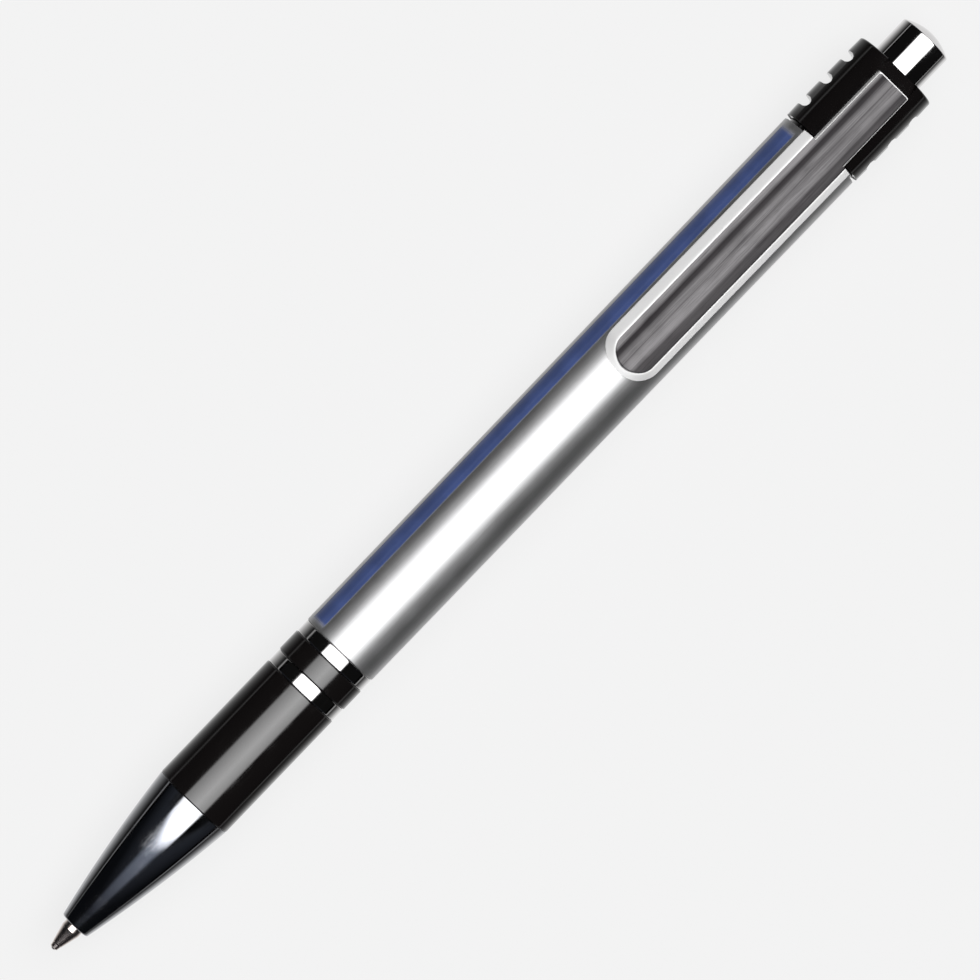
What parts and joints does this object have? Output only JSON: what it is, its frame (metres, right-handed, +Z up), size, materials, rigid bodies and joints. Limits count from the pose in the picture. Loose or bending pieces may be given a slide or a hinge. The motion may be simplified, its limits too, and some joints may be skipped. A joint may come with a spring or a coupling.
{
  "type": "click pen",
  "caption": "Retractable click ballpoint pen with a tapered metal barrel, bow-sided nose, ribbed collar, pocket clip and a push button that moves the refill.",
  "frame": {"origin": "under the middle of the pen's length, on the surface that it lies on", "axes": "+X along the pen towards the button, +Z up, out through the middle of the clip"},
  "size_m": [0.141, 0.0106, 0.0118],
  "materials": {
    "dark_chrome": "polished dark chrome plate",
    "chrome": "polished",
    "black_gloss": "moulded gloss black",
    "barrel_satin": "satin silver with one blue painted stripe",
    "clip_steel": "brushed lengthwise with polished edges",
    "point_metal": "nickel silver, turned",
    "ball_carbide": "polished carbide",
    "brass": "turned",
    "spring_steel": "drawn wire",
    "refill_plastic": "extruded, slightly frosted",
    "cam_plastic": "moulded acetal",
    "ink": "blue ink paste"
  },
  "bodies": {
    "root": {"barrel_tube": "barrel_satin", "barrel_insert": "brass", "front_core": "brass", "nose_cone": "dark_chrome", "grip_sleeve": "black_gloss", "lower_ring": "chrome", "spacer_ring": "black_gloss", "upper_ring": "chrome", "collar": "black_gloss", "cam_sleeve": "cam_plastic", "return_spring": "spring_steel"},
    "refill": {"refill_tube": "refill_plastic", "refill_tip": "point_metal", "ink_column": "ink", "refill_plug": "cam_plastic"},
    "ball": {"tip_ball": "ball_carbide"},
    "rotor": {"rotor_cam": "cam_plastic"},
    "button": {"button_cap": "chrome", "thrust_tube": "cam_plastic"},
    "pocket_clip": {"clip": "clip_steel"}
  },
  "joints": [
    {"name": "refill_slide", "type": "slide", "parent": "root", "child": "refill", "axis": [1, 0, 0], "range_m": [-0.0012, 0.005], "deforming": ["return_spring"]},
    {"name": "button_press", "type": "slide", "parent": "root", "child": "button", "axis": [1, 0, 0], "range_m": [-0.0012, 0.005]},
    {"name": "rotor_index", "type": "hinge", "parent": "refill", "child": "rotor", "pos_m": [0.0394, 0, 0.00533], "axis": [1, 0, 0], "continuous": true},
    {"name": "clip_flex", "type": "hinge", "parent": "root", "child": "pocket_clip", "pos_m": [0.0622, 0, 0.00973], "axis": [0, 1, 0], "range_deg": [0, 4], "stiffness_Nm_per_rad": 1},
    {"name": "ball_roll", "type": "hinge", "parent": "refill", "child": "ball", "pos_m": [-0.07015, 0, 0.00533], "axis": [0, 1, 0], "continuous": true}
  ],
  "couplings": [
    {"joint": "button_press", "follows": "refill_slide", "ratio": 1}
  ]
}
